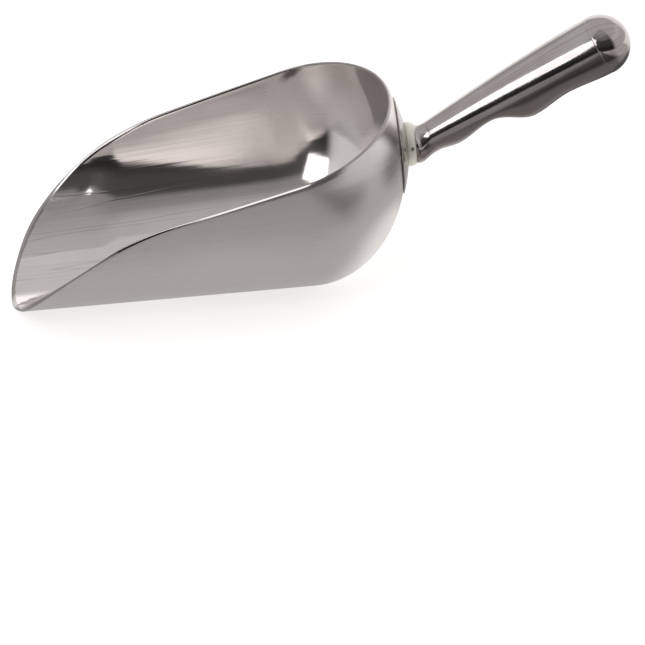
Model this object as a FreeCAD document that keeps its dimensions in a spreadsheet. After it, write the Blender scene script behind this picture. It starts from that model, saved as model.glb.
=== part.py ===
import FreeCAD, Part

import math
import os

import Sketcher
from FreeCAD import Placement, Rotation, Vector

# Ice scoop: a thin half-open bowl with a domed back, a thin foot on the dome, a short
# collar ring with its stud and cross pin, a hollow finger grip and its end cap.
# While it is drawn, x = 0 is the front lip, y = 0 the plane of symmetry, and z = 0 the
# straight line that the bowl rests on. At the end every piece is placed so that the
# origin lies under the middle of the whole scoop.

DIMENSIONS = {
    # bowl: a tapered round trough that ends in an elliptical dome
    "bowl_radius": 60.0,
    "bowl_length": 183.8,
    "dome_depth": 47.3,
    "taper_angle": 3.6,
    "wall": 1.5,
    "front_spare": 8.0,
    "rim_back_height": 87.4,
    "rim_slope": 14.85,
    "rim_arc_radius": 128.8,
    "rim_edge_round": 0.5,
    # foot: a thin plate that follows the dome, with a spigot for the ring
    "foot_stand": 183.85,
    "foot_height": 59.5,
    "foot_tilt": 1.1,
    "foot_radius": 22.0,
    "foot_edge_drop": 2.5,
    "foot_depth": 8.0,
    "foot_arc_radius": 60.0,
    "boss_height": 0.6,
    "boss_radius": 10.0,
    "spigot_radius": 6.5,
    "spigot_height": 4.2,
    # collar ring, stud and cross pin
    "ring_foot_radius": 10.0,
    "ring_radius": 9.3,
    "ring_width": 3.8,
    "ring_crown_radius": 6.0,
    "stud_radius": 3.0,
    "stud_foot_end": 1.1,
    "stud_length": 10.5,
    "stud_chamfer": 0.5,
    "pin_radius": 1.1,
    "pin_height": 2.6,
    "pin_turn": 12.0,
    "pin_length": 19.6,
    # grip: round above, with two finger grooves below
    "grip_base_radius": 9.1,
    "waist_x": 196.0,
    "waist_height": 62.4,
    "waist_radius": 7.2,
    "grip_angle": 25.7,
    "grip_length": 86.0,
    "grip_end_radius": 13.6,
    "grip_swell": 1.45,
    "first_crest_at": 10.0,
    "first_crest": 8.8,
    "first_groove_at": 28.0,
    "first_groove": 5.7,
    "second_crest_at": 46.0,
    "second_crest": 14.4,
    "second_groove_at": 65.0,
    "second_groove": 11.9,
    "grip_wall": 2.2,
    "hollow_start": 14.0,
    # end cap: a hollow dome with a plug that fits the grip's open end
    "cap_dome": 15.0,
    "cap_step": 0.3,
    "cap_wall": 2.2,
    "cap_plug_length": 7.0,
    "cap_plug_wall": 2.0,
}

START, END, CENTRE = 1, 2, 3
H_AXIS, V_AXIS = -1, -2
ORIGIN = (-1, 1)

LEAST_CUT = 1.0  # cubic millimetres: a cut that takes less has missed

doc = FreeCAD.newDocument("ice_scoop")
sheet = doc.addObject("Spreadsheet::Sheet", "dims")
for row, (alias, number) in enumerate(DIMENSIONS.items(), start=1):
    sheet.set(f"A{row}", alias)
    sheet.set(f"B{row}", str(number))
    sheet.setAlias(f"B{row}", alias)
doc.recompute()


def value(formula):
    """What a formula over the sheet's aliases comes to now."""
    return float(sheet.evalExpression(formula))


# ---------------------------------------------------------------- sketch helpers


def new_body(label):
    body = doc.addObject("PartDesign::Body", label)
    body.Label = label
    return body


def new_sketch(body, name):
    """A sketch on the body's XZ plane: its x runs along the scoop and its y runs up."""
    sketch = body.newObject("Sketcher::SketchObject", name)
    plane = next(item for item in body.Origin.OriginFeatures if item.Role == "XZ_Plane")
    sketch.AttachmentSupport = [(plane, "")]
    sketch.MapMode = "FlatFace"
    return sketch


def set_frame(sketch, base_x, base_y, angle, turn=None):
    """Move the sketch's origin in its plane and turn its x axis up by an angle."""
    sketch.setExpression("AttachmentOffset.Base.x", base_x)
    sketch.setExpression("AttachmentOffset.Base.y", base_y)
    sketch.setExpression("AttachmentOffset.Rotation.Yaw", angle)
    if turn:
        sketch.setExpression("AttachmentOffset.Rotation.Roll", turn)


def bind(sketch, constraint, formula):
    """Add a dimensional constraint and let the sheet drive it."""
    index = sketch.addConstraint(constraint)
    sketch.setExpression(f"Constraints[{index}]", formula)


def fix_point(sketch, point, x_formula, y_formula):
    """Hold one point at a place that the sheet gives; a formula of "0" puts it on an axis."""
    for formula, kind, axis in ((x_formula, "DistanceX", V_AXIS), (y_formula, "DistanceY", H_AXIS)):
        if formula == "0":
            sketch.addConstraint(Sketcher.Constraint("PointOnObject", *point, axis))
        else:
            bind(sketch, Sketcher.Constraint(kind, *ORIGIN, *point, value(formula)), formula)


def tie(sketch, *pairs):
    for one, other in pairs:
        sketch.addConstraint(Sketcher.Constraint("Coincident", *one, *other))


def run_of_lines(sketch, corners):
    """Straight edges through corners given as formulas. Returns the first and last edge."""
    spots = [Vector(value(x), value(y), 0) for x, y in corners]
    edges = [sketch.addGeometry(Part.LineSegment(a, b), False) for a, b in zip(spots, spots[1:])]
    for edge, following in zip(edges, edges[1:]):
        tie(sketch, ((edge, END), (following, START)))
    for edge, (x_formula, y_formula) in zip(edges, corners):
        fix_point(sketch, (edge, START), x_formula, y_formula)
    fix_point(sketch, (edges[-1], END), *corners[-1])
    return edges[0], edges[-1]


def round_edge(sketch, start, end, radius):
    """An arc that bulges to the left of the way from start to end. Points are formulas."""
    first = Vector(value(start[0]), value(start[1]), 0)
    last = Vector(value(end[0]), value(end[1]), 0)
    chord = last - first
    left = Vector(-chord.y, chord.x, 0).normalize()
    reach = math.sqrt(value(radius) ** 2 - (chord.Length / 2) ** 2)
    centre = (first + last) * 0.5 - left * reach
    circle = Part.Circle(centre, Vector(0, 0, 1), value(radius))
    angles = [math.atan2(spot.y - centre.y, spot.x - centre.x) for spot in (last, first)]
    arc = sketch.addGeometry(Part.ArcOfCircle(circle, *angles), False)
    bind(sketch, Sketcher.Constraint("Radius", arc, value(radius)), radius)
    return arc


def ellipse_end(depth, radius, slope):
    """Where an ellipse about the origin, depth by radius, falls away forwards at a slope."""
    reach = f"sqrt(({radius})^2 + ({depth})^2 * tan({slope})^2)"
    return f"0 - ({depth})^2 * tan({slope}) / {reach}", f"({radius})^2 / {reach}"


def ellipse_arc(sketch, depth, radius, slope="0"):
    """An arc of an ellipse about the origin, from (depth, 0) over the top to ellipse_end."""
    out, up = value(depth), value(radius)
    end_x = value(ellipse_end(depth, radius, slope)[0])
    if out > up:
        ellipse = Part.Ellipse(Vector(out, 0, 0), Vector(0, up, 0), Vector(0, 0, 0))
        arc = sketch.addGeometry(Part.ArcOfEllipse(ellipse, 0.0, math.acos(end_x / out)), False)
        lie = "Horizontal"
    else:
        ellipse = Part.Ellipse(Vector(0, up, 0), Vector(-out, 0, 0), Vector(0, 0, 0))
        end_angle = math.asin(-end_x / out)
        arc = sketch.addGeometry(Part.ArcOfEllipse(ellipse, -math.pi / 2, end_angle), False)
        lie = "Vertical"
    tie(sketch, ((arc, CENTRE), ORIGIN))
    sketch.exposeInternalGeometry(arc)
    sketch.addConstraint(Sketcher.Constraint(lie, arc + 1))
    return arc


def revolve(body, name, sketch, angle=360):
    """Turn the sketch about its own x axis."""
    doc.recompute()
    turned = body.newObject("PartDesign::Revolution", name)
    turned.Profile = sketch
    turned.ReferenceAxis = (sketch, ["H_Axis"])
    turned.Angle = angle
    doc.recompute()
    return turned


def mirror_half(body, name, half):
    """Mirror a half-turned feature in y = 0, so that its skins meet along that plane."""
    whole = body.newObject("PartDesign::Mirrored", name)
    whole.Originals = [half]
    plane = next(item for item in body.Origin.OriginFeatures if item.Role == "XZ_Plane")
    whole.MirrorPlane = (plane, [""])
    whole.Refine = False
    body.Tip = whole
    doc.recompute()
    return whole


def must_shrink(before, after):
    """A cut that points the wrong way takes nothing and shows no error."""
    if not after.Shape.Volume < before.Shape.Volume - LEAST_CUT:
        raise RuntimeError(f"{after.Name} took nothing away")


def pin_hole(body, before):
    """The cross pin's hole, through ring, spigot and stud alike."""
    sketch = new_sketch(body, f"{body.Name}_pin_circle")
    set_foot_frame(sketch, "dims.pin_turn")
    centre = Vector(value("dims.pin_height"), 0, 0)
    round_hole = Part.Circle(centre, Vector(0, 0, 1), value("dims.pin_radius"))
    circle = sketch.addGeometry(round_hole, False)
    fix_point(sketch, (circle, CENTRE), "dims.pin_height", "0")
    bind(sketch, Sketcher.Constraint("Radius", circle, value("dims.pin_radius")), "dims.pin_radius")
    doc.recompute()
    hole = body.newObject("PartDesign::Pocket", f"{body.Name}_pin_hole")
    hole.Profile = sketch
    hole.Type = "ThroughAll"
    hole.SideType = "Symmetric"
    doc.recompute()
    must_shrink(before, hole)


# ---------------------------------------------------------------- bowl


def bowl_centre_height():
    """How high the dome's centre stands when the tangent line below the bowl lies at z = 0."""
    upright = "dims.bowl_radius * cos(dims.taper_angle)"
    level = "dims.dome_depth * sin(dims.taper_angle)"
    return f"sqrt(({upright})^2 + ({level})^2)"


def bowl_body():
    body = new_body("bowl")
    profile = new_sketch(body, "bowl_shell_profile")
    # the sketch's x axis is the bowl's own axis, which climbs by the taper
    set_frame(profile, "dims.bowl_length - dims.dome_depth", bowl_centre_height(), "dims.taper_angle")
    outside = ("dims.dome_depth", "dims.bowl_radius", "dims.taper_angle")
    inside = ("dims.dome_depth - dims.wall", "dims.bowl_radius - dims.wall", "dims.taper_angle")
    outer = ellipse_arc(profile, *outside)
    inner = ellipse_arc(profile, *inside)
    mouth = "dims.bowl_length - dims.dome_depth + dims.front_spare"
    trough = []
    for skin in (outside, inside):
        join_x, join_y = ellipse_end(*skin)
        mouth_radius = f"{join_y} - ({mouth} + {join_x}) * tan(dims.taper_angle)"
        trough += [(join_x, join_y), (f"-({mouth})", mouth_radius)]
    trough[2:] = reversed(trough[2:])
    first, last = run_of_lines(profile, trough)
    pole, _ = run_of_lines(profile, [("dims.dome_depth - dims.wall", "0"), ("dims.dome_depth", "0")])
    tie(
        profile,
        ((outer, END), (first, START)),
        ((last, END), (inner, END)),
        ((inner, START), (pole, START)),
        ((pole, END), (outer, START)),
    )
    shell = mirror_half(body, "bowl_shell", revolve(body, "bowl_shell_half", profile, angle=180))

    # everything above the rim goes: a long arc from the lip runs into a straight slope
    rim = new_sketch(body, "rim_line")
    meet_x, meet_y = rim_meeting_point()
    arc = round_edge(rim, ("0", "0"), (str(meet_x), str(meet_y)), "dims.rim_arc_radius")
    back_x = "dims.bowl_length + dims.bowl_radius / 2"
    high = "2.5 * dims.bowl_radius"
    beyond = [
        (back_x, "dims.rim_back_height + dims.bowl_radius / 2 * tan(dims.rim_slope)"),
        (back_x, high),
        ("-dims.bowl_radius / 2", high),
        ("-dims.bowl_radius / 2", "0"),
        ("0", "0"),
    ]
    first, last = run_of_lines(rim, beyond)
    slope_end = Vector(value(beyond[0][0]), value(beyond[0][1]), 0)
    slope = rim.addGeometry(Part.LineSegment(Vector(meet_x, meet_y, 0), slope_end), False)
    tie(rim, ((slope, END), (first, START)), ((last, END), (arc, END)))
    rim.addConstraint(Sketcher.Constraint("Tangent", arc, START, slope, START))
    bind(
        rim,
        Sketcher.Constraint("Angle", slope, math.radians(value("dims.rim_slope"))),
        "dims.rim_slope * 1 deg",
    )
    doc.recompute()
    cut = body.newObject("PartDesign::Pocket", "rim_cut")
    cut.Profile = rim
    cut.Type = "ThroughAll"
    cut.SideType = "Symmetric"
    cut.Refine = False
    doc.recompute()
    must_shrink(shell, cut)

    edges = enumerate(cut.Shape.Edges, start=1)
    rim_edges = [f"Edge{number}" for number, edge in edges if on_rim(cut.Shape, edge)]
    rounded = body.newObject("PartDesign::Fillet", "rim_round")
    rounded.Base = (cut, rim_edges)
    rounded.setExpression("Radius", "dims.rim_edge_round")
    rounded.Refine = False
    doc.recompute()
    must_shrink(cut, rounded)
    return body


def rim_meeting_point():
    """Where the rim's arc, which starts at the lip, runs into its straight slope.

    The arc's centre is one radius from the lip at (0, 0) and one radius below the slope.
    """
    slope = math.radians(value("dims.rim_slope"))
    radius = value("dims.rim_arc_radius")
    forward = Vector(-math.cos(slope), -math.sin(slope), 0)
    below = Vector(math.sin(slope), -math.cos(slope), 0)
    under_back = Vector(value("dims.bowl_length"), value("dims.rim_back_height"), 0) + below * radius
    halfway = -under_back.dot(forward)
    to_centre = halfway - math.sqrt(halfway**2 - under_back.dot(under_back) + radius**2)
    meet = under_back + forward * to_centre - below * radius
    return meet.x, meet.y


def on_rim(shell, edge):
    """True for an edge between a face that the rim cut made and the bowl's own skin."""
    faces = shell.ancestorsOfType(edge, Part.Face)
    from_cut = [isinstance(face.Surface, (Part.Plane, Part.Cylinder)) for face in faces]
    return sorted(from_cut) == [False, True]


# ---------------------------------------------------------------- foot, ring, stud and pin


def foot_centre():
    return Vector(value("dims.foot_stand"), 0, value("dims.foot_height"))


def foot_axis():
    """The directions out along the foot's own axis and up across it."""
    tilt = math.radians(value("dims.foot_tilt"))
    return Vector(math.cos(tilt), 0, math.sin(tilt)), Vector(-math.sin(tilt), 0, math.cos(tilt))


def set_foot_frame(sketch, turn=None):
    """The sketch's x axis stands square on the dome at the foot's centre."""
    set_frame(sketch, "dims.foot_stand", "dims.foot_height", "dims.foot_tilt", turn)


def foot_body():
    body = new_body("handle_foot")
    profile = new_sketch(body, "foot_profile")
    set_foot_frame(profile)
    shoulder = ("dims.boss_height", "dims.boss_radius")
    edge = ("-dims.foot_edge_drop", "dims.foot_radius")
    arc = round_edge(profile, edge, shoulder, "dims.foot_arc_radius")
    first, last = run_of_lines(
        profile,
        [
            edge,
            ("-dims.foot_depth", "dims.foot_radius"),
            ("-dims.foot_depth", "0"),
            ("dims.stud_foot_end", "0"),
            ("dims.stud_foot_end", "dims.stud_radius"),
            ("dims.spigot_height", "dims.stud_radius"),
            ("dims.spigot_height", "dims.spigot_radius"),
            ("dims.boss_height", "dims.spigot_radius"),
            shoulder,
        ],
    )
    tie(profile, ((arc, END), (first, START)), ((last, END), (arc, START)))
    plate = revolve(body, "foot_plate", profile)

    # the back of the foot is hollowed by the ball that fits the dome at its pole
    ball_radius = "(dims.bowl_radius * dims.bowl_radius / dims.dome_depth)"
    behind = f"dims.dome_depth - {ball_radius}"
    seat = body.newObject("PartDesign::SubtractiveSphere", "dome_seat")
    seat.Placement = Placement(Vector(), Rotation(Vector(0, 0, 1), 180))
    seat.setExpression("Radius", ball_radius)
    seat.setExpression(
        "Placement.Base.x",
        f"dims.bowl_length - dims.dome_depth + ({behind}) * cos(dims.taper_angle)",
    )
    seat.setExpression(
        "Placement.Base.z",
        f"{bowl_centre_height()} + ({behind}) * sin(dims.taper_angle)",
    )
    doc.recompute()
    must_shrink(plate, seat)
    pin_hole(body, seat)
    return body


def ring_body():
    body = new_body("neck_ring")
    profile = new_sketch(body, "ring_profile")
    set_foot_frame(profile)
    far = "dims.boss_height + dims.ring_width"
    near_top = ("dims.boss_height", "dims.ring_foot_radius")
    far_top = (far, "dims.ring_radius")
    crown = round_edge(profile, near_top, far_top, "dims.ring_crown_radius")
    first, last = run_of_lines(
        profile,
        [near_top, ("dims.boss_height", "dims.spigot_radius"), (far, "dims.spigot_radius"), far_top],
    )
    tie(profile, ((crown, END), (first, START)), ((last, END), (crown, START)))
    pin_hole(body, revolve(body, "ring_turned", profile))
    return body


def stud_body():
    body = new_body("neck_stud")
    profile = new_sketch(body, "stud_profile")
    set_foot_frame(profile)
    far = "dims.stud_foot_end + dims.stud_length"
    bevelled = "dims.stud_radius - dims.stud_chamfer"
    first, last = run_of_lines(
        profile,
        [
            ("dims.stud_foot_end", "0"),
            ("dims.stud_foot_end", bevelled),
            ("dims.stud_foot_end + dims.stud_chamfer", "dims.stud_radius"),
            (f"{far} - dims.stud_chamfer", "dims.stud_radius"),
            (far, bevelled),
            (far, "0"),
        ],
    )
    axis = profile.addGeometry(Part.LineSegment(Vector(value(far), 0, 0), Vector(1, 0, 0)), False)
    tie(profile, ((last, END), (axis, START)), ((axis, END), (first, START)))
    pin_hole(body, revolve(body, "stud_turned", profile))
    return body


def pin_part():
    """A plain cylinder along the pin hole, from one side of the ring to the other."""
    pin = doc.addObject("Part::Cylinder", "neck_pin")
    pin.Label = "neck_pin"
    pin.setExpression("Radius", "dims.pin_radius")
    pin.setExpression("Height", "dims.pin_length")
    outward, _ = foot_axis()
    middle = foot_centre() + outward * value("dims.pin_height")
    # the hole runs square to the foot's axis, turned about it from the y axis
    turned = Rotation(Vector(0, 1, 0), -value("dims.foot_tilt"))
    turned = turned.multiply(Rotation(Vector(1, 0, 0), 90 + value("dims.pin_turn")))
    along_pin = turned.multVec(Vector(0, 0, 1))
    pin.Placement = Placement(middle - along_pin * (value("dims.pin_length") / 2), turned)
    return pin


# ---------------------------------------------------------------- grip and end cap


def grip_axis():
    """The grip's start at the waist, and the directions along it and up across it."""
    angle = math.radians(value("dims.grip_angle"))
    waist = Vector(value("dims.waist_x"), 0, value("dims.waist_height"))
    forward = Vector(math.cos(angle), 0, math.sin(angle))
    up = Vector(-math.sin(angle), 0, math.cos(angle))
    return waist, forward, up


def upper_radius(distance):
    """The round upper half: it swells fast behind the waist and levels out at the end."""
    left = max(0.0, 1 - distance / value("dims.grip_length"))
    growth = 1 - left ** value("dims.grip_swell")
    waist = value("dims.waist_radius")
    return waist + (value("dims.grip_end_radius") - waist) * growth


def lower_turns():
    """The crests and grooves below: where each one is, and how deep the grip is there."""
    names = ("first_crest", "first_groove", "second_crest", "second_groove")
    middle = [(value(f"dims.{name}_at"), value(f"dims.{name}")) for name in names]
    start = (0.0, value("dims.waist_radius"))
    end = (value("dims.grip_length"), value("dims.grip_end_radius"))
    return [start, *middle, end]


def lower_depth(distance):
    """Half a cosine wave from each crest or groove to the next."""
    turns = lower_turns()
    for (x0, depth0), (x1, depth1) in zip(turns, turns[1:]):
        if distance <= x1:
            share = (1 - math.cos(math.pi * (distance - x0) / (x1 - x0))) / 2
            return depth0 + (depth1 - depth0) * share
    return turns[-1][1]


def half_ellipse(centre, side, up):
    """Half of an ellipse from centre - side, over centre + up, to centre + side.

    Its control points are the corners and the middles of the sides of the box around it.
    """
    poles = [centre - side, centre - side + up, centre + up, centre + side + up, centre + side]
    corner = math.sqrt(0.5)
    curve = Part.BSplineCurve()
    curve.buildFromPolesMultsKnots(poles, (3, 2, 3), (0, 0.5, 1), False, 2, (1, corner, 1, corner, 1))
    return curve.toShape()


def section(centre, up, half_width, top, bottom):
    side = Vector(0, half_width, 0)
    above = half_ellipse(centre, side, up * top)
    below = half_ellipse(centre, side * -1, up * -bottom)
    return Part.Wire([above, below])


def grip_section(distance, wall=0.0):
    waist, forward, up = grip_axis()
    radius = upper_radius(distance) - wall
    return section(waist + forward * distance, up, radius, radius, lower_depth(distance) - wall)


def section_places(first):
    """Each crest and groove past first, and the point halfway between each two."""
    places = [first] + [distance for distance, _ in lower_turns() if distance > first]
    halves = [(a + b) / 2 for a, b in zip(places, places[1:])]
    return sorted(places + halves)


def grip_shape():
    outward, across = foot_axis()
    base = foot_centre() + outward * value("dims.boss_height + dims.ring_width")
    base_radius = value("dims.grip_base_radius")
    neck = section(base, across, base_radius, base_radius, base_radius)
    outside = Part.makeLoft([neck] + [grip_section(place) for place in section_places(0.0)], True)
    inner_places = section_places(value("dims.hollow_start"))
    inside = Part.makeLoft([grip_section(place, value("dims.grip_wall")) for place in inner_places], True)
    stud_reach = value("dims.stud_foot_end + dims.stud_length")
    socket = Part.makeCylinder(value("dims.stud_radius"), stud_reach, foot_centre(), outward)
    plug_length = value("dims.cap_plug_length")
    waist, forward, _ = grip_axis()
    plug_start = waist + forward * (value("dims.grip_length") - plug_length)
    plug_radius = value("dims.grip_end_radius - dims.grip_wall")
    plug_room = Part.makeCylinder(plug_radius, plug_length, plug_start, forward)
    return outside.cut(inside).cut(socket).cut(plug_room)


def grip_part():
    grip = doc.addObject("Part::Feature", "grip")
    grip.Label = "grip"
    grip.Shape = grip_shape()
    return grip


def cap_body():
    body = new_body("end_cap")
    profile = new_sketch(body, "cap_profile")
    set_frame(
        profile,
        "dims.waist_x + dims.grip_length * cos(dims.grip_angle)",
        "dims.waist_height + dims.grip_length * sin(dims.grip_angle)",
        "dims.grip_angle",
    )
    plug_radius = "dims.grip_end_radius - dims.grip_wall"
    plug_bore = f"{plug_radius} - dims.cap_plug_wall"
    outer = ellipse_arc(profile, "dims.cap_dome", "dims.grip_end_radius + dims.cap_step")
    inner = ellipse_arc(profile, "dims.cap_dome - dims.cap_wall", plug_bore)
    first, last = run_of_lines(
        profile,
        [
            ("0", "dims.grip_end_radius + dims.cap_step"),
            ("0", plug_radius),
            ("-dims.cap_plug_length", plug_radius),
            ("-dims.cap_plug_length", plug_bore),
            ("0", plug_bore),
        ],
    )
    pole, _ = run_of_lines(profile, [("dims.cap_dome - dims.cap_wall", "0"), ("dims.cap_dome", "0")])
    tie(
        profile,
        ((outer, END), (first, START)),
        ((last, END), (inner, END)),
        ((inner, START), (pole, START)),
        ((pole, END), (outer, START)),
    )
    revolve(body, "cap_turned", profile)
    return body


# ---------------------------------------------------------------- assembly


def middle_x():
    """Half the scoop's length: the lip is at x = 0 and the cap's dome reaches furthest back."""
    angle = math.radians(value("dims.grip_angle"))
    dome_centre = value("dims.waist_x") + value("dims.grip_length") * math.cos(angle)
    along = value("dims.cap_dome") * math.cos(angle)
    across = value("dims.grip_end_radius + dims.cap_step") * math.sin(angle)
    return (dome_centre + math.hypot(along, across)) / 2


def check(pieces):
    for item in doc.Objects:
        if "Invalid" in item.State or "Error" in item.State:
            raise RuntimeError(f"{item.Name} did not compute: {item.State}")
    for piece in pieces:
        if piece.Shape.isNull() or not piece.Shape.isValid() or len(piece.Shape.Solids) != 1:
            raise RuntimeError(f"{piece.Label} is not one valid solid")


pieces = [
    bowl_body(),
    foot_body(),
    ring_body(),
    stud_body(),
    pin_part(),
    grip_part(),
    cap_body(),
]
to_middle = Vector(-middle_x(), 0, 0)
for piece in pieces:
    piece.Placement = Placement(to_middle, Rotation()).multiply(piece.Placement)
doc.recompute()
check(pieces)
os.makedirs("parts", exist_ok=True)
for piece in pieces:
    piece.Shape.exportStep(f"parts/{piece.Label}.step")
    print(piece.Label, round(piece.Shape.Volume), piece.Shape.BoundBox)
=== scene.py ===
import math

import bmesh
import bpy
from mathutils import Matrix, Vector, noise


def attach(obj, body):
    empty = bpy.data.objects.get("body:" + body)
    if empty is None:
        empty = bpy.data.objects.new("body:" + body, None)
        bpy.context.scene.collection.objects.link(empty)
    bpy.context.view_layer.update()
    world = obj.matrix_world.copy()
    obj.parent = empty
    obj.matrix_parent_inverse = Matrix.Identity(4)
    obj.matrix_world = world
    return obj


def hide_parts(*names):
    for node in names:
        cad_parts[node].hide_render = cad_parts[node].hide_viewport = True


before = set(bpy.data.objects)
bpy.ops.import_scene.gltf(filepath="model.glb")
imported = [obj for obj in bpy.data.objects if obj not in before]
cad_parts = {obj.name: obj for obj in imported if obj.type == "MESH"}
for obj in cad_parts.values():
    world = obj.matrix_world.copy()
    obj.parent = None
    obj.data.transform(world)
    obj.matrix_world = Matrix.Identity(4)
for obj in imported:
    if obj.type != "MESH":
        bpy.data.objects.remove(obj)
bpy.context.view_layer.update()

# An ice scoop: a thin half-open bowl with a domed back, a foot on the dome, a neck ring
# with its cross pin, and a polished finger grip with an end cap.
# Shapes are worked out in millimetres in a drawing frame: x runs back from the front
# lip, y across, and z up from the line that the bowl rests on.

MM = 0.001
DRAWN_LIP = Vector((-144.146, 0.0, 0.0))  # the drawing's origin, in the model's frame


# ---------------------------------------------------------------- mesh helpers


def to_model(point):
    return (Vector(point) + DRAWN_LIP) * MM


def add_piece(name, points, faces, material, node, weld=0.002):
    """Make a smooth-shaded piece from drawing points, and put it in a CAD node's place."""
    mesh = bpy.data.meshes.new(name)
    mesh.from_pydata([to_model(point) for point in points], [], faces)
    solid = bmesh.new()
    solid.from_mesh(mesh)
    bmesh.ops.remove_doubles(solid, verts=solid.verts, dist=weld * MM)
    bmesh.ops.dissolve_degenerate(solid, edges=solid.edges, dist=weld * MM / 2)
    bmesh.ops.recalc_face_normals(solid, faces=solid.faces)
    for face in solid.faces:
        face.smooth = True
    solid.to_mesh(mesh)
    solid.free()
    mesh.materials.append(material)
    piece = bpy.data.objects.new(name, mesh)
    bpy.context.scene.collection.objects.link(piece)
    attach(piece, "root")
    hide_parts(node)
    return piece


def grid_faces(rows, columns, closed_columns=False, first=0):
    """Quads between neighbouring rows of points. A closed row joins its end to its start."""
    faces = []
    steps = columns if closed_columns else columns - 1
    for row in range(rows - 1):
        here = first + row * columns
        there = here + columns
        for step in range(steps):
            after = (step + 1) % columns
            faces.append((here + step, here + after, there + after, there + step))
    return faces


# ---------------------------------------------------------------- bowl

TAPER = math.radians(3.6)
DOME_CENTRE = Vector((136.5, 0.0, 59.955))
DOME_DEPTH = 47.3
BOWL_RADIUS = 60.0
WALL = 1.5
# the trough runs straight into the ellipse where the two have the same slope
JOIN_ALONG = -2.343
JOIN_RADIUS = 59.926
AXIS = Vector((math.cos(TAPER), 0.0, math.sin(TAPER)))
ABOVE = Vector((-math.sin(TAPER), 0.0, math.cos(TAPER)))
ACROSS = Vector((0.0, 1.0, 0.0))

RIM_CENTRE = Vector((111.1, 0.0, -65.1))
RIM_RADIUS = 128.8
RIM_SLOPE = math.radians(14.85)
RIM_BACK = Vector((183.8, 0.0, 87.4))
RIM_SETBACK = 1.25  # the skins stop short of the cut edge, and the bevelled edge closes them
WAVE_DEPTH = 0.05
WAVE_SIZE = 24.0
BULGE_START = math.radians(28.0)
BULGE_END = math.radians(92.0)
DING_PLACE = Vector((38.1, 46.3, 27.0))
DING_DEPTH = 0.22
DING_SIZE = 2.4
OUTER_BULGE = 0.4  # how much of the inner skin's bulge shows on the outer one


def rim_height(x):
    """How high the skins reach at x, seen from the side."""
    radius = RIM_RADIUS - RIM_SETBACK
    arc_end = RIM_CENTRE.x - radius * math.sin(RIM_SLOPE)
    if x < arc_end:
        return RIM_CENTRE.z + math.sqrt(max(0.0, radius**2 - (x - RIM_CENTRE.x) ** 2))
    drop = RIM_SETBACK / math.cos(RIM_SLOPE)
    return RIM_BACK.z - drop + (x - RIM_BACK.x) * math.tan(RIM_SLOPE)


def on_skin(station, angle):
    """A point of the outer skin and its outward direction. Angle 0 is the bottom line."""
    along, radius, lean, spread = station
    outward = ACROSS * math.sin(angle) - ABOVE * math.cos(angle)
    point = DOME_CENTRE + AXIS * along + outward * radius
    return point, (AXIS * lean + outward * spread).normalized()


def trough_station(along):
    """Distance along the axis, radius there, and the outer skin's slope as two parts."""
    radius = JOIN_RADIUS + (along - JOIN_ALONG) * math.tan(TAPER)
    return along, radius, -math.sin(TAPER), math.cos(TAPER)


def dome_station(turn):
    """Turn is 0 at the dome's pole and a little over a quarter circle at the trough."""
    lean = BOWL_RADIUS * math.cos(turn)
    spread = DOME_DEPTH * math.sin(turn)
    return DOME_DEPTH * math.cos(turn), BOWL_RADIUS * math.sin(turn), lean, spread


def spare_height(station, angle):
    point, _ = on_skin(station, angle)
    return rim_height(point.x) - point.z


def rim_angle(station):
    """How far round from the bottom the skin goes before it meets the rim."""
    if spare_height(station, math.pi) > 0:
        return math.pi
    low, high = 0.0, math.pi
    for _ in range(50):
        middle = (low + high) / 2
        if spare_height(station, middle) > 0:
            low = middle
        else:
            high = middle
    return low


def first_where(is_past, low, high):
    """The value between low and high where a condition turns true."""
    for _ in range(50):
        middle = (low + high) / 2
        if is_past(middle):
            high = middle
        else:
            low = middle
    return high


def bowl_stations(trough_rows=84, side_rows=56, pole_rows=44):
    """Stations from the lip to the pole, and how many of them have an open rim.

    They stand closer together near the lip and where the rim closes over the dome.
    """
    front = -DOME_CENTRE.x - 10.0
    lip = first_where(lambda along: spare_height(trough_station(along), 0.0) > 0, front, JOIN_ALONG)
    join = math.acos(JOIN_ALONG / DOME_DEPTH)
    closes = first_where(
        lambda share: spare_height(dome_station(join * (1 - share)), math.pi) > 0, 0.0, 0.9
    )
    top = join * (1 - closes)
    stations = []
    for row in range(trough_rows):
        share = row / trough_rows
        stations.append(trough_station(lip + (JOIN_ALONG - lip) * share**2 * (1.6 - 0.6 * share)))
    for row in range(side_rows + 1):
        share = row / side_rows
        stations.append(dome_station(join + (top - join) * (1 - (1 - share) ** 2)))
    open_rows = len(stations)
    for row in range(1, pole_rows + 1):
        stations.append(dome_station(top * (1 - row / pole_rows)))
    return stations, open_rows


def wave(point):
    """Slight dents left by pressing and buffing. They only ever go inwards."""
    return WAVE_DEPTH * (0.5 + 0.5 * noise.noise(point / WAVE_SIZE))


def smooth_step(value, low, high):
    share = min(1.0, max(0.0, (value - low) / (high - low)))
    return share * share * (3 - 2 * share)


def out_of_round(point, angle):
    """How far pressing has pushed the wall out of round, outwards where it is above 0.

    Behind the front third it is out low down and in halfway up. In front it is the other way.
    """
    share = (abs(angle) - BULGE_START) / (BULGE_END - BULGE_START)
    if not 0 < share < 1:
        return 0.0
    depth = -0.95 + 1.4 * smooth_step(point.x, 40.0, 56.0)
    depth += 0.55 * smooth_step(point.x, 56.0, 120.0)
    fade = 1 - smooth_step(point.x, 126.0, 154.0)
    ends = math.sin(math.pi * share) ** 0.5
    return depth * fade * ends * math.sin(2 * math.pi * share)


def ding(point):
    """One small knock on the inside, near the front."""
    distance = (point - DING_PLACE).length
    return DING_DEPTH * math.exp(-((distance / DING_SIZE) ** 2))


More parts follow.
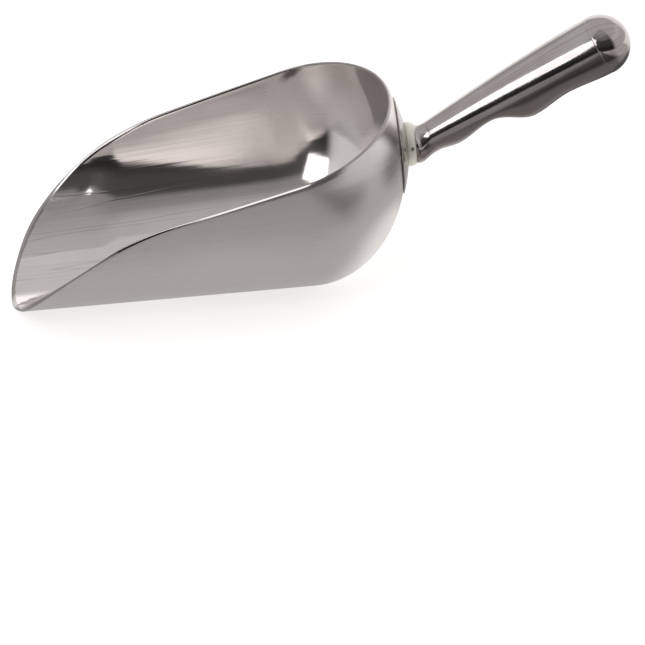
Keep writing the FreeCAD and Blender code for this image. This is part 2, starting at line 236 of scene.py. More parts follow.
def bowl_skins(stations, columns):
    """Rows of points from rim to rim under the bowl, for the outer and inner skins."""
    outer, inner = [], []
    for station in stations:
        reach = rim_angle(station)
        for column in range(columns):
            angle = reach * (2 * column / (columns - 1) - 1)
            point, normal = on_skin(station, angle)
            bulge = out_of_round(point, angle)
            dent = wave(point)
            outer.append(point + normal * (OUTER_BULGE * bulge - dent))
            inner.append(point + normal * (bulge - dent - WALL + ding(point)))
    return outer, inner


def rim_profile():
    """The cut edge's section from outer to inner skin, in half wall thicknesses."""
    bevel = [(1.0, 0.0), (0.93, 0.15), (0.81, 0.41), (0.68, 0.69), (0.56, 0.95), (0.45, 1.12)]
    crown = [(0.31, 1.24), (0.15, 1.31), (0.0, 1.33)]
    half = bevel + crown
    return half + [(-across, up) for across, up in reversed(half[:-1])]


def rim_bead(outer, inner, open_rows, columns):
    """The mouth's bevelled and rounded edge, once round from the outer to the inner skin."""
    profile = rim_profile()
    path = [row * columns for row in reversed(range(open_rows))]
    path += [row * columns + columns - 1 for row in range(1, open_rows - 1)]
    rings = []
    for step, index in enumerate(path):
        before = (outer[path[step - 1]] + inner[path[step - 1]]) / 2
        after = path[(step + 1) % len(path)]
        way = (outer[after] + inner[after]) / 2 - before
        centre = (outer[index] + inner[index]) / 2
        out = outer[index] - centre
        away = way.cross(out).normalized() * out.length
        for across, up in profile:
            rings.append(centre + out * across + away * up)
    return rings, len(profile)


def finish_edge(bowl, material):
    """Give the mouth's edge, which is all that stands above the skins, its own metal."""
    bowl.data.materials.append(material)
    for face in bowl.data.polygons:
        spot = face.center / MM - DRAWN_LIP
        if spot.z > rim_height(spot.x) + 0.03:
            face.material_index = 1


def make_bowl(material, edge_material):
    columns = 113
    stations, open_rows = bowl_stations()
    outer, inner = bowl_skins(stations, columns)
    rows = len(stations)
    bead, across = rim_bead(outer, inner, open_rows, columns)
    points = outer + inner + bead
    faces = grid_faces(rows, columns)
    faces += grid_faces(rows, columns, first=len(outer))
    rings = len(bead) // across
    faces += grid_faces(rings, across, first=2 * len(outer))
    last = 2 * len(outer) + (rings - 1) * across
    start = 2 * len(outer)
    faces += [(last + s, last + s + 1, start + s + 1, start + s) for s in range(across - 1)]
    bowl = add_piece("bowl_shell", points, faces, material, "bowl")
    finish_edge(bowl, edge_material)


# ---------------------------------------------------------------- foot, ring and pin

FOOT_TILT = math.radians(1.1)
FOOT_CENTRE = Vector((183.85, 0.0, 59.5))
FOOT_OUT = Vector((math.cos(FOOT_TILT), 0.0, math.sin(FOOT_TILT)))
FOOT_UP = Vector((-math.sin(FOOT_TILT), 0.0, math.cos(FOOT_TILT)))
FOOT_RADIUS = 22.0
SEAT_RADIUS = 76.1  # of the ball that fits the dome at its pole
RING_START = 0.6
RING_END = 4.4


def rounded(profile, radius, sides=4):
    """A profile with each inner corner turned into a small arc."""
    spots = [profile[0]]
    for before, corner, after in zip(profile, profile[1:], profile[2:]):
        here = Vector(corner)
        back, ahead = Vector(before) - here, Vector(after) - here
        reach = min(radius, back.length * 0.45, ahead.length * 0.45)
        start = here + back.normalized() * reach
        end = here + ahead.normalized() * reach
        for side in range(sides + 1):
            share = side / sides
            first = start.lerp(here, share)
            spots.append(tuple(first.lerp(here.lerp(end, share), share)))
    spots.append(profile[-1])
    return spots


def turned(profile, centre, axis, up, sides):
    """Points of a profile (distance along, radius) turned about an axis, ring by ring."""
    beside = axis.cross(up)
    points = []
    for along, radius in profile:
        for side in range(sides):
            turn = 2 * math.pi * side / sides
            spoke = up * math.cos(turn) + beside * math.sin(turn)
            points.append(centre + axis * along + spoke * radius)
    return points


def turned_piece(name, profile, centre, axis, up, material, node, sides=96, closed=False):
    points = turned(profile, centre, axis, up, sides)
    faces = grid_faces(len(profile), sides, closed_columns=True)
    if closed:
        last = (len(profile) - 1) * sides
        for side in range(sides):
            after = (side + 1) % sides
            faces.append((last + side, last + after, after, side))
    return add_piece(name, points, faces, material, node)


def seat_drop(radius):
    """How far the dome has fallen away behind the foot's centre at a radius."""
    return SEAT_RADIUS - math.sqrt(SEAT_RADIUS**2 - radius**2)


def make_foot(material):
    """A thin plate that hugs the dome, thickest at the ring, with a soft round edge."""
    inner_radius, shoulder = 6.5, 9.9
    edge_thickness, middle_thickness = 0.72, 1.3
    edge_bulge, seat_gap = 0.4, 0.02
    flat_radius = FOOT_RADIUS - edge_bulge
    steps = 22
    top, under = [], []
    for step in range(steps + 1):
        share = step / steps
        radius = shoulder + (flat_radius - shoulder) * share
        thicker = (middle_thickness - edge_thickness) * (1 - share) ** 1.5
        thickness = edge_thickness + thicker
        top.append((thickness - seat_drop(radius), radius))
    for step in range(steps + 1):
        radius = flat_radius + (inner_radius - flat_radius) * step / steps
        under.append((seat_gap - seat_drop(radius), radius))
    edge_along, edge_radius = top[-1]
    edge_sides = 8
    edge = []
    for side in range(1, edge_sides):
        turn = math.pi * side / edge_sides
        along = edge_along - edge_thickness / 2 * (1 - math.cos(turn))
        edge.append((along, edge_radius + edge_bulge * math.sin(turn)))
    boss = [(RING_START, inner_radius), (RING_START, shoulder)]
    profile = boss + top[1:] + edge + under
    return turned_piece(
        "foot_plate", profile, FOOT_CENTRE, FOOT_OUT, FOOT_UP, material, "handle_foot",
        sides=128, closed=True,
    )


def make_ring(material):
    """A short tapering band with a slight crown and rounded corners."""
    start_radius, end_radius, bore, crown, corner = 10.0, 9.3, 6.5, 0.32, 0.35
    outside = []
    steps = 12
    for step in range(steps + 1):
        share = step / steps
        swell = crown * 4 * share * (1 - share)
        radius = start_radius + (end_radius - start_radius) * share + swell
        outside.append((RING_START + (RING_END - RING_START) * share, radius))
    sharp = [(RING_START, bore), *outside, (RING_END, bore)]
    profile = rounded(sharp, corner)
    return turned_piece(
        "neck_band", profile, FOOT_CENTRE, FOOT_OUT, FOOT_UP, material, "neck_ring",
        sides=128, closed=True,
    )


def make_pin(material):
    """A plain pin right through the ring, with slightly domed ends."""
    radius, reach, dome, height = 1.1, 9.8, 0.3, 2.6
    turn = math.radians(12.0)
    centre = FOOT_CENTRE + FOOT_OUT * height
    axis = -ACROSS * math.cos(turn) + FOOT_UP * math.sin(turn)
    half = []
    steps = 6
    for step in range(steps + 1):
        quarter = math.pi / 2 * step / steps
        half.append((reach + dome * math.cos(quarter), radius * math.sin(quarter)))
    profile = half + [(-along, size) for along, size in reversed(half)]
    return turned_piece(
        "cross_pin", profile, centre, axis, FOOT_OUT, material, "neck_pin", sides=32
    )


# ---------------------------------------------------------------- grip and end cap

WAIST = Vector((196.0, 0.0, 62.4))
WAIST_RADIUS = 7.2
GRIP_TURN = math.radians(25.7)
GRIP_ALONG = Vector((math.cos(GRIP_TURN), 0.0, math.sin(GRIP_TURN)))
GRIP_UP = Vector((-math.sin(GRIP_TURN), 0.0, math.cos(GRIP_TURN)))
GRIP_LENGTH = 86.0
GRIP_END_RADIUS = 13.6
GRIP_SWELL = 1.45
# where the grip's underside turns, and how deep the grip is there
LOWER_TURNS = ((0.0, 7.2), (10.0, 8.8), (28.0, 5.7), (46.0, 14.4), (65.0, 11.9), (86.0, 13.6))
# the neck between the ring and the waist: how far along, and its radius there
NECK_TURNS = ((0.0, 8.7), (0.06, 9.05), (0.14, 9.1), (0.24, 8.85), (0.42, 7.9), (0.68, 7.3))


def smooth_share(value):
    """Eases a share of the way from 0 to 1, flat at both ends."""
    return (1 - math.cos(math.pi * value)) / 2


def lower_depth(distance):
    """How far the grip's underside is below its axis."""
    for (before, depth), (after, next_depth) in zip(LOWER_TURNS, LOWER_TURNS[1:]):
        if distance <= after:
            share = smooth_share((distance - before) / (after - before))
            return depth + (next_depth - depth) * share
    return LOWER_TURNS[-1][1]


def upper_radius(distance):
    """How far the grip's top and sides are from its axis."""
    left = max(0.0, 1 - distance / GRIP_LENGTH)
    return WAIST_RADIUS + (GRIP_END_RADIUS - WAIST_RADIUS) * (1 - left**GRIP_SWELL)


def grip_ring(centre, up, half_width, top, bottom, sides):
    """One cross section: half an ellipse above and a deeper or shallower one below."""
    ring = []
    for side in range(sides):
        turn = 2 * math.pi * side / sides
        height = math.cos(turn)
        reach = top if height > 0 else bottom
        ring.append(centre + up * height * reach + ACROSS * math.sin(turn) * half_width)
    return ring


def neck_place(share):
    """Centre and upward direction on the curve from the ring's face to the waist."""
    start = FOOT_CENTRE + FOOT_OUT * RING_END
    span = (WAIST - start).length
    first, second = start + FOOT_OUT * span / 3, WAIST - GRIP_ALONG * span / 3
    one, two, three = start.lerp(first, share), first.lerp(second, share), second.lerp(WAIST, share)
    four, five = one.lerp(two, share), two.lerp(three, share)
    way = (five - four).normalized()
    return four.lerp(five, share), Vector((-way.z, 0.0, way.x))


def make_grip(material):
    """The grip's skin, from the hole that the stud enters to the open end under the cap."""
    sides, stud_hole = 96, 4.0
    start_centre, start_up = neck_place(0.0)
    points = grip_ring(start_centre, start_up, stud_hole, stud_hole, stud_hole, sides)
    for share, radius in NECK_TURNS:
        centre, up = neck_place(share)
        points += grip_ring(centre, up, radius, radius, radius, sides)
    steps = 130
    for step in range(steps + 1):
        distance = GRIP_LENGTH * step / steps
        radius = upper_radius(distance)
        centre = WAIST + GRIP_ALONG * distance
        points += grip_ring(centre, GRIP_UP, radius, radius, lower_depth(distance), sides)
    rows = len(points) // sides
    faces = grid_faces(rows, sides, closed_columns=True)
    return add_piece("grip_shell", points, faces, material, "grip")


def make_cap(material):
    """A squarish dome that stands a hair proud of the grip at the joint."""
    depth, step_out, power, joint, gap = 14.55, 0.15, 2.05, 0.5, 0.02
    centre = WAIST + GRIP_ALONG * GRIP_LENGTH
    widest = GRIP_END_RADIUS + step_out
    profile = [(gap, GRIP_END_RADIUS - 1.5), (gap, widest - joint / 2), (0.12, widest - 0.08)]
    steps = 36
    for step in range(steps + 1):
        turn = math.pi / 2 * step / steps
        along = math.sin(turn) ** (2 / power)
        radius = math.cos(turn) ** (2 / power) if step < steps else 0.0
        profile.append((joint + (depth - joint) * along, widest * radius))
    return turned_piece(
        "cap_dome", profile, centre, GRIP_ALONG, GRIP_UP, material, "end_cap"
    )


# ---------------------------------------------------------------- material helpers


def add_node(tree, kind, inputs=None, **settings):
    """Add a node. An input is a plain value, or another node's output to link from."""
    node = tree.nodes.new(kind)
    for name, setting in settings.items():
        setattr(node, name, setting)
    for name, given in (inputs or {}).items():
        socket = node.inputs[name]
        if isinstance(given, bpy.types.NodeSocket):
            tree.links.new(given, socket)
        else:
            socket.default_value = given
    return node


def maths(tree, operation, *values):
    """One sum on plain values or other nodes' outputs."""
    return add_node(tree, "ShaderNodeMath", dict(enumerate(values)), operation=operation).outputs[0]


def product(tree, first, *others):
    for other in others:
        first = maths(tree, "MULTIPLY", first, other)
    return first


def total(tree, first, *others):
    for other in others:
        first = maths(tree, "ADD", first, other)
    return first


def vector_maths(tree, operation, *vectors):
    """A sum on vectors. Distances, lengths and dot products come out as a plain value."""
    inputs = dict(enumerate(vectors))
    node = add_node(tree, "ShaderNodeVectorMath", inputs, operation=operation)
    plain = operation in ("DISTANCE", "DOT_PRODUCT", "LENGTH")
    return node.outputs["Value" if plain else "Vector"]


def split(tree, vector):
    return add_node(tree, "ShaderNodeSeparateXYZ", {0: vector}).outputs


def remap(tree, value, low, high, to_low, to_high):
    """A smooth step from to_low to to_high as the value goes from low to high."""
    inputs = {
        "Value": value,
        "From Min": low,
        "From Max": high,
        "To Min": to_low,
        "To Max": to_high,
    }
    node = add_node(tree, "ShaderNodeMapRange", inputs, interpolation_type="SMOOTHSTEP")
    return node.outputs["Result"]


def noise_of(tree, vector, scale, detail=2.0, roughness=0.5):
    inputs = {"Vector": vector, "Scale": scale, "Detail": detail, "Roughness": roughness}
    return add_node(tree, "ShaderNodeTexNoise", inputs).outputs["Fac"]


def stretched(tree, vector, scale):
    inputs = {"Vector": vector, "Scale": scale}
    return add_node(tree, "ShaderNodeMapping", inputs).outputs["Vector"]


def colour_between(tree, share, first, second):
    """A mix of two colours. Each is three plain values, or another node's output."""
    pair = (c if isinstance(c, bpy.types.NodeSocket) else (*c, 1.0) for c in (first, second))
    inputs = dict(zip((0, 6, 7), (share, *pair)))
    return add_node(tree, "ShaderNodeMix", inputs, data_type="RGBA").outputs[2]


def value_between(tree, share, first, second):
    return add_node(tree, "ShaderNodeMix", {0: share, 2: first, 3: second}).outputs[0]


def bumped(tree, height, distance, strength, normal=None):
    inputs = {"Height": height, "Distance": distance, "Strength": strength}
    if normal:
        inputs["Normal"] = normal
    return add_node(tree, "ShaderNodeBump", inputs).outputs["Normal"]


def new_metal(name):
    material = bpy.data.materials.new(name)
    material.use_nodes = True
    tree = material.node_tree
    shader = tree.nodes["Principled BSDF"]
    shader.inputs["Metallic"].default_value = 1.0
    position = add_node(tree, "ShaderNodeTexCoord").outputs["Object"]
    return material, tree, shader, position


def link_looks(tree, shader, colour, rough, normal):
    tree.links.new(colour, shader.inputs["Base Color"])
    tree.links.new(rough, shader.inputs["Roughness"])
    tree.links.new(normal, shader.inputs["Normal"])


def about_axis(tree, position, centre, axis, up, least_radius):
    """Distance along an axis, distance from it, and the direction round it as a vector."""
    offset = vector_maths(tree, "SUBTRACT", position, tuple(centre))
    along, high, wide = (
        vector_maths(tree, "DOT_PRODUCT", offset, tuple(way)) for way in (axis, up, axis.cross(up))
    )
    square = total(tree, product(tree, high, high), product(tree, wide, wide))
    radius = maths(tree, "SQRT", square)
    safe = maths(tree, "MAXIMUM", radius, least_radius)
    high_share, wide_share = (maths(tree, "DIVIDE", part, safe) for part in (high, wide))
    inputs = {"X": along, "Y": high_share, "Z": wide_share}
    return along, radius, add_node(tree, "ShaderNodeCombineXYZ", inputs).outputs[0]


# ---------------------------------------------------------------- the bowl's metal

SHEET_DULL, SHEET_BRIGHT = (0.70, 0.665, 0.655), (0.80, 0.76, 0.745)
OUTSIDE_ROUGHNESS = 0.24
LINE_COLOUR, LINE_SHARE = (0.42, 0.37, 0.36), 0.3
LINE_WIDTH = 0.02  # in the noise's own units, which run from 0 to 1
# painted shade: a dark patch on the dome's inside, high up round the foot
DOME_SHADE_COLOUR, DOME_SHADE_SHARE = (0.34, 0.32, 0.32), 0.8
# painted shade: a long dark streak under the far side's edge, inside the bowl
FAR_EDGE_SHADE_COLOUR, FAR_EDGE_SHADE_SHARE = (0.13, 0.10, 0.11), 0.9
FAR_EDGE_SHADE_PLACE = (-0.0065, 0.057, 0.0725)
FAR_EDGE_SHADE_TILT = math.radians(-40.0)
FAR_EDGE_SHADE_SIZE = (0.0085, 0.2, 0.0034)
EDGE_DULL, EDGE_BRIGHT = (0.36, 0.335, 0.33), (0.48, 0.455, 0.45)


def inside_share(tree, position, centre):
    """1 on faces that look towards the bowl's middle, 0 on faces that look away from it."""
    offset = vector_maths(tree, "SUBTRACT", position, tuple(centre))
    facing = add_node(tree, "ShaderNodeNewGeometry").outputs["True Normal"]
    return maths(tree, "LESS_THAN", vector_maths(tree, "DOT_PRODUCT", offset, facing), 0.0)


def drawn_lines(tree, round_axis, along, height):
    """Thin lines along the bowl, left by drawing. They show low down in the front half."""
    drawn = noise_of(tree, stretched(tree, round_axis, (5.0, 9.0, 9.0)), 1.0, 1.0, 0.4)
    from_line = maths(tree, "ABSOLUTE", maths(tree, "SUBTRACT", drawn, 0.5))
    line = remap(tree, from_line, 0.0, LINE_WIDTH, 1.0, 0.0)
    low_down = remap(tree, height, 0.026, 0.036, 1.0, 0.05)
    in_front = remap(tree, along, -0.06, -0.03, 1.0, 0.0)
    return product(tree, line, low_down, in_front)


def far_edge_shade(tree, position):
    """Painted shade: 1 in the middle of one long dark streak under the far side's edge, 0 away from
    it.
    """
    inputs = {
        "Vector": position,
        "Location": FAR_EDGE_SHADE_PLACE,
        "Rotation": (0.0, FAR_EDGE_SHADE_TILT, 0.0),
        "Scale": FAR_EDGE_SHADE_SIZE,
    }
    local = add_node(tree, "ShaderNodeMapping", inputs, vector_type="TEXTURE").outputs["Vector"]
    ragged = product(tree, noise_of(tree, position, 300.0), 0.5)
    distance = total(tree, vector_maths(tree, "LENGTH", local), ragged)
    return remap(tree, distance, 0.45, 1.3, 1.0, 0.0)


def painted_dome_shade(tree, position, height):
    """Painted shade: 1 on the part of the dome's inside, high up round the foot, that is darkened,
    0 outside it.
    """
    foot = tuple((FOOT_CENTRE + DRAWN_LIP) * MM)
    wider_high_up = remap(tree, height, 0.053, 0.082, 0.0035, -0.0065)
    distance = total(tree, vector_maths(tree, "DISTANCE", position, foot), wider_high_up)
    near = remap(tree, distance, 0.040, 0.0425, 1.0, 0.0)
    return product(tree, near, remap(tree, height, 0.0495, 0.057, 0.0, 1.0))


def sheet_roughness(tree, inside, along, height):
    """Satin outside. Inside, the trough is polished, and the dome is duller high up."""
    in_dome = remap(tree, along, -0.03, 0.0, 0.0, 0.27)
    high_in_dome = product(tree, in_dome, remap(tree, height, 0.038, 0.060, 0.0, 1.0))
    polished = total(tree, remap(tree, along, 0.015, 0.04, 0.04, 0.12), high_in_dome)
    return value_between(tree, inside, OUTSIDE_ROUGHNESS, polished)


def bowl_satin():
    """Buffed sheet: fine streaks along the bowl, soft forming waves and drawn lines, with painted
    shade under the far side's edge and round the foot inside the dome.
    """
    material, tree, shader, position = new_metal("bowl_satin")
    centre = (DOME_CENTRE + DRAWN_LIP) * MM
    along, _, round_axis = about_axis(tree, position, centre, AXIS, ABOVE, 8 * MM)
    inside = inside_share(tree, position, centre)
    height = split(tree, position)["Z"]
    fine = noise_of(tree, stretched(tree, round_axis, (9.0, 150.0, 150.0)), 1.0, 3.0, 0.6)
    broad = noise_of(tree, stretched(tree, round_axis, (4.0, 16.0, 16.0)), 1.0)
    cloud = noise_of(tree, position, 28.0, 3.0, 0.55)
    grain = noise_of(tree, position, 900.0, 2.0, 0.6)
    line = product(tree, drawn_lines(tree, round_axis, along, height), inside)

    normal = bumped(tree, broad, 0.00012, 0.30)
    normal = bumped(tree, fine, 0.00002, 0.30, normal)
    normal = bumped(tree, grain, 0.00001, 0.22, normal)
    normal = bumped(tree, line, 0.00003, 0.6, normal)

    tone = remap(tree, product(tree, total(tree, fine, cloud), 0.5), 0.3, 0.7, 0.0, 1.0)
    colour = colour_between(tree, tone, SHEET_DULL, SHEET_BRIGHT)
    colour = colour_between(tree, product(tree, line, LINE_SHARE), colour, LINE_COLOUR)
    # painted shade on the dome's inside round the foot
    dome_shaded = product(tree, painted_dome_shade(tree, position, height), inside, DOME_SHADE_SHARE)
    colour = colour_between(tree, dome_shaded, colour, DOME_SHADE_COLOUR)
    # painted shade under the far side's edge
    far_edge_shaded = product(tree, far_edge_shade(tree, position), inside, FAR_EDGE_SHADE_SHARE)
    colour = colour_between(tree, far_edge_shaded, colour, FAR_EDGE_SHADE_COLOUR)

    rough = sheet_roughness(tree, inside, along, height)
    rough = total(tree, rough, remap(tree, cloud, 0.3, 0.7, 0.0, 0.05), product(tree, fine, 0.05))
    link_looks(tree, shader, colour, rough, normal)
    return material


def edge_polish():
    """The ground and polished edge of the bowl's mouth, with fine nicks."""
    material, tree, shader, position = new_metal("edge_polish")
    nicks = noise_of(tree, position, 1400.0, 2.0, 0.6)
    wear = noise_of(tree, position, 60.0)
    colour = colour_between(tree, wear, EDGE_DULL, EDGE_BRIGHT)
    rough = remap(tree, wear, 0.3, 0.7, 0.07, 0.16)
    link_looks(tree, shader, colour, rough, bumped(tree, nicks, 0.00001, 0.25))
    return material


# ---------------------------------------------------------------- the other metals

CAST_DULL, CAST_BRIGHT = (0.39, 0.355, 0.35), (0.53, 0.495, 0.49)
# painted shade: the colour of the grip's lower sides
LOWER_SHADE_COLOUR, LOWER_SHADE_SHARE = (0.17, 0.145, 0.14), 0.85
RING_DULL, RING_BRIGHT, RING_ROUGHNESS = (0.96, 0.95, 0.85), (0.99, 0.98, 0.91), 0.62
PIN_DULL, PIN_BRIGHT, PIN_ROUGHNESS = (0.36, 0.36, 0.36), (0.50, 0.50, 0.49), 0.24


def painted_lower_shade(tree):
    """Painted shade: 1 on the grip's lower sides, 0 above, at the very bottom, and on faces that
    look back.
    """
    facing = add_node(tree, "ShaderNodeNewGeometry").outputs["Normal"]
    upward, backward = (
        vector_maths(tree, "DOT_PRODUCT", facing, tuple(way)) for way in (GRIP_UP, GRIP_ALONG)
    )
    off_bottom = remap(tree, upward, -0.8, -0.5, 0.0, 1.0)
    below = remap(tree, upward, -0.1, 0.2, 1.0, 0.0)
    return product(tree, off_bottom, below, remap(tree, backward, 0.25, 0.5, 1.0, 0.0))


def cast_polish():
    """Buffed casting: nearly a mirror, with a faint ripple and fine polishing lines.

    The grip's lower sides are darker, with painted shade in their colour.
    """
    material, tree, shader, position = new_metal("cast_polish")
    centre = (WAIST + DRAWN_LIP) * MM
    _, _, round_axis = about_axis(tree, position, centre, GRIP_ALONG, GRIP_UP, 5 * MM)
    lines = noise_of(tree, stretched(tree, round_axis, (30.0, 14.0, 14.0)), 1.0, 3.0, 0.6)
    ripple = noise_of(tree, position, 190.0, 3.0, 0.6)
    cloud = noise_of(tree, position, 45.0)
    normal = bumped(tree, ripple, 0.0001, 0.25)
    normal = bumped(tree, lines, 0.00004, 0.25, normal)
    tone = total(tree, product(tree, cloud, 0.4), product(tree, lines, 0.6))
    tone = remap(tree, tone, 0.35, 0.65, 0.0, 1.0)
    colour = colour_between(tree, tone, CAST_DULL, CAST_BRIGHT)
    # painted shade darkens the grip's lower sides
    darker = product(tree, painted_lower_shade(tree), LOWER_SHADE_SHARE)
    colour = colour_between(tree, darker, colour, LOWER_SHADE_COLOUR)
    rough = remap(tree, total(tree, cloud, product(tree, lines, 0.4)), 0.4, 1.0, 0.06, 0.15)
    link_looks(tree, shader, colour, rough, normal)
    return material


def turned_metal(name, dull, bright, rough, pitch):
    """A lathe-turned face: hair-fine rings round the neck's axis."""
    material, tree, shader, position = new_metal(name)
    neck = (FOOT_CENTRE + DRAWN_LIP) * MM
    along, radius, _ = about_axis(tree, position, neck, FOOT_OUT, FOOT_UP, 1 * MM)
    both = add_node(tree, "ShaderNodeCombineXYZ", {"X": along, "Y": radius}).outputs[0]
    rings = noise_of(tree, both, pitch, 3.0, 0.6)
    colour = colour_between(tree, noise_of(tree, position, 120.0), dull, bright)
    roughness = remap(tree, rings, 0.3, 0.7, rough, rough + 0.12)
    link_looks(tree, shader, colour, roughness, bumped(tree, rings, 0.00003, 0.35))
    return material


bowl_metal = bowl_satin()
cast_metal = cast_polish()
ring_metal = turned_metal("ring_polish", RING_DULL, RING_BRIGHT, RING_ROUGHNESS, 2600.0)
pin_metal = turned_metal("pin_steel", PIN_DULL, PIN_BRIGHT, PIN_ROUGHNESS, 1800.0)
make_bowl(bowl_metal, edge_polish())
make_foot(cast_metal)
make_ring(ring_metal)
make_pin(pin_metal)
make_grip(cast_metal)
make_cap(cast_metal)
hidden_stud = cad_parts["neck_stud"].data
hidden_stud.materials.clear()
hidden_stud.materials.append(pin_metal)


# ---------------------------------------------------------------- camera

CAMERA_AIM = Vector((-0.00461, -0.02781, -0.01246))
CAMERA_AZIMUTH = math.radians(2.841)
CAMERA_ELEVATION = math.radians(29.104)
CAMERA_ROLL = math.radians(-4.172)
CAMERA_DISTANCE = 2.4507
CAMERA_LENS = 302.0
CAMERA_SENSOR = 36.0
CAMERA_REACH = 100.0


def add_camera():
    data = bpy.data.cameras.new("camera")
    data.lens = CAMERA_LENS
    data.sensor_width = CAMERA_SENSOR
    data.clip_end = CAMERA_REACH
    camera = bpy.data.objects.new("camera", data)
    bpy.context.scene.collection.objects.link(camera)
    level = math.cos(CAMERA_ELEVATION)
    back = Vector((
        -math.sin(CAMERA_AZIMUTH) * level,
        -math.cos(CAMERA_AZIMUTH) * level,
        math.sin(CAMERA_ELEVATION),
    ))
    right = Vector((math.cos(CAMERA_AZIMUTH), -math.sin(CAMERA_AZIMUTH), 0.0))
    roll = Matrix.Rotation(CAMERA_ROLL, 3, back)
    axes = Matrix((roll @ right, roll @ back.cross(right), back)).transposed().to_4x4()
    axes.translation = CAMERA_AIM + back * CAMERA_DISTANCE
    camera.matrix_world = axes
    bpy.context.scene.camera = camera


# ---------------------------------------------------------------- floor, room and lamp

FLOOR_REACH = 30.0
FLOOR_DROP = 0.0006  # a hair below the bowl, so that the two never share a plane
FLOOR_GLOW = 0.62
FLOOR_WARMTH = (1.0, 0.985, 0.96, 1.0)
PAPER = (0.8, 0.8, 0.8, 1.0)
WHITE = (1.0, 1.0, 1.0, 1.0)
BRIGHT_PATCH = (0.04, 0.005, 0.0)
GRIP_SHADOW = (0.20, 0.08, 0.0)
ROOM_WARMTH = (1.0, 0.985, 0.975, 1.0)
LAMP_AZIMUTH = math.radians(-146.0)  # 0 is away from the viewer, 90 degrees is to the right
LAMP_ELEVATION = math.radians(37.5)
LAMP_DISTANCE = 0.8
LAMP_AIM = Vector((0.0, 0.0, 0.05))
LAMP_WIDTH, LAMP_HEIGHT = 0.46, 0.353
LAMP_RADIANCE = 2.3  # how bright it looks in a mirror


def seen_by_camera(tree):
    return add_node(tree, "ShaderNodeLightPath").outputs["Is Camera Ray"]


def floor_in_mirror(tree, place):
    """How bright the floor is in the scoop's reflections: the top of a small lit table.

    It is white behind the scoop, light to its far right, grey under it, and darker in front
    and below the grip, with a bright patch by the dome.
    """
    x, y, _ = split(tree, place)
    from_patch = vector_maths(tree, "DISTANCE", place, BRIGHT_PATCH)
    from_shadow = vector_maths(tree, "DISTANCE", place, GRIP_SHADOW)
    shade = remap(tree, x, 0.045, 0.1, 0.38, 0.15)
    front = remap(tree, y, -0.13, -0.06, shade, 0.5)
    front = maths(tree, "MAXIMUM", front, remap(tree, x, 0.22, 0.35, 0.0, 0.7))
    front = product(tree, front, remap(tree, from_shadow, 0.05, 0.11, 0.3, 1.0))
    patch = remap(tree, from_patch, 0.02, 0.06, 0.45, 0.0)
    return total(tree, patch, front, remap(tree, y, 0.08, 0.2, 0.0, 0.6))


def add_floor():
    """A pale floor. The camera sees it near white, with a faint shadow under the scoop."""
    mesh = bpy.data.meshes.new("floor")
    signs = ((-1, -1), (1, -1), (1, 1), (-1, 1))
    corners = [(x * FLOOR_REACH, y * FLOOR_REACH, 0.0) for x, y in signs]
    mesh.from_pydata(corners, [], [(0, 1, 2, 3)])
    material = bpy.data.materials.new("floor")
    material.use_nodes = True
    tree = material.node_tree
    tree.nodes.remove(tree.nodes["Principled BSDF"])
    place = add_node(tree, "ShaderNodeTexCoord").outputs["Object"]
    inputs = {"Color": FLOOR_WARMTH, "Strength": floor_in_mirror(tree, place)}
    in_mirror = add_node(tree, "ShaderNodeEmission", inputs)
    glow = add_node(tree, "ShaderNodeEmission", {"Color": WHITE, "Strength": FLOOR_GLOW})
    paper = add_node(tree, "ShaderNodeBsdfDiffuse", {"Color": PAPER})
    seen = add_node(tree, "ShaderNodeAddShader", {0: glow.outputs[0], 1: paper.outputs[0]})
    inputs = {0: seen_by_camera(tree), 1: in_mirror.outputs[0], 2: seen.outputs[0]}
    mixed = add_node(tree, "ShaderNodeMixShader", inputs)
    tree.links.new(mixed.outputs[0], tree.nodes["Material Output"].inputs["Surface"])
    mesh.materials.append(material)
    floor = bpy.data.objects.new("floor", mesh)
    bpy.context.scene.collection.objects.link(floor)
    floor.location.z = -FLOOR_DROP


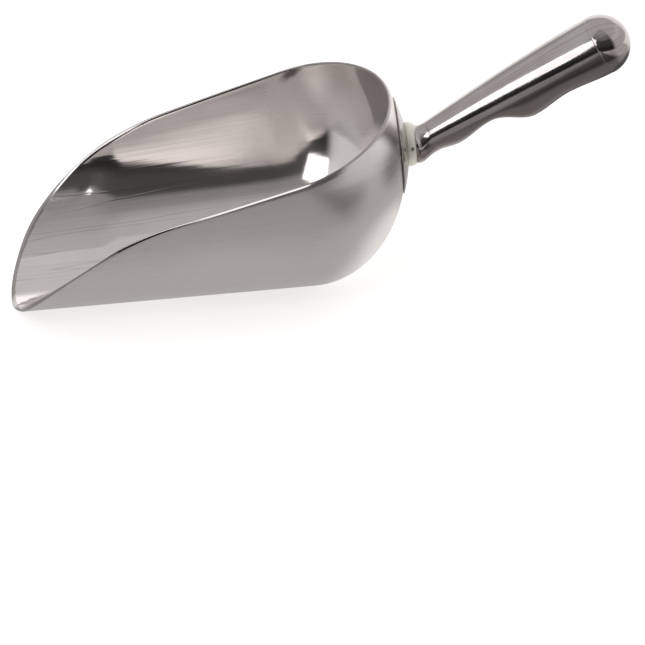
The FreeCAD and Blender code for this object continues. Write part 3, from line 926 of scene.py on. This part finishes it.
def room_in_mirror(tree, way):
    """How bright the room is in reflections, by the direction that the light comes from."""
    x, y, high = split(tree, way)
    square = maths(tree, "SUBTRACT", 1.0, product(tree, high, high))
    level = maths(tree, "SQRT", maths(tree, "MAXIMUM", square, 1e-4))
    towards = maths(tree, "DIVIDE", product(tree, y, -1.0), level)
    sideways = maths(tree, "DIVIDE", x, level)

    overhead = remap(tree, high, 0.3, 0.65, 0.48, 0.66)
    top_edge = total(tree, high, remap(tree, sideways, -0.3, 0.0, 0.22, 0.0))
    below_edge = remap(tree, top_edge, 0.34, 0.58, 1.0, 0.0)
    backdrop = product(tree, remap(tree, towards, -0.82, -0.5, 0.85, 0.0), below_edge)
    aside = remap(tree, maths(tree, "ABSOLUTE", sideways), 0.7, 0.9, 0.0, 0.22)
    walls = product(tree, aside, remap(tree, high, 0.5, 0.75, 1.0, 0.0))
    bright = total(tree, overhead, backdrop, walls)

    steps = ((0.15, 0.4, 0.025, 0.07), (0.60, 0.72, 0.0, 0.2), (0.75, 0.99, 0.0, 0.25))
    dim = total(tree, *(remap(tree, high, *step) for step in steps))
    return value_between(tree, remap(tree, towards, 0.58, 0.76, 0.0, 1.0), bright, dim)


def add_room():
    """A white backdrop behind, soft grey overhead, and a dim room on the viewer's side.

    That is what reflections see. The camera itself sees white all round.
    """
    world = bpy.data.worlds.new("studio")
    bpy.context.scene.world = world
    world.use_nodes = True
    tree = world.node_tree
    background = tree.nodes["Background"]
    way = add_node(tree, "ShaderNodeTexCoord").outputs["Generated"]
    strength = value_between(tree, seen_by_camera(tree), room_in_mirror(tree, way), 1.0)
    background.inputs["Color"].default_value = ROOM_WARMTH
    tree.links.new(strength, background.inputs["Strength"])


def add_softbox():
    """One soft box that faces the scoop, high up and to the left on the viewer's side."""
    data = bpy.data.lights.new("softbox_left", "AREA")
    data.shape = "RECTANGLE"
    data.size, data.size_y = LAMP_WIDTH, LAMP_HEIGHT
    data.energy = LAMP_RADIANCE * math.pi * LAMP_WIDTH * LAMP_HEIGHT
    lamp = bpy.data.objects.new("softbox_left", data)
    bpy.context.scene.collection.objects.link(lamp)
    level = math.cos(LAMP_ELEVATION)
    away = Vector((
        math.sin(LAMP_AZIMUTH) * level,
        math.cos(LAMP_AZIMUTH) * level,
        math.sin(LAMP_ELEVATION),
    ))
    lamp.location = away * LAMP_DISTANCE + LAMP_AIM
    lamp.rotation_euler = away.to_track_quat("Z", "Y").to_euler()


bpy.context.scene.view_settings.view_transform = "Standard"
add_camera()
add_floor()
add_room()
add_softbox()
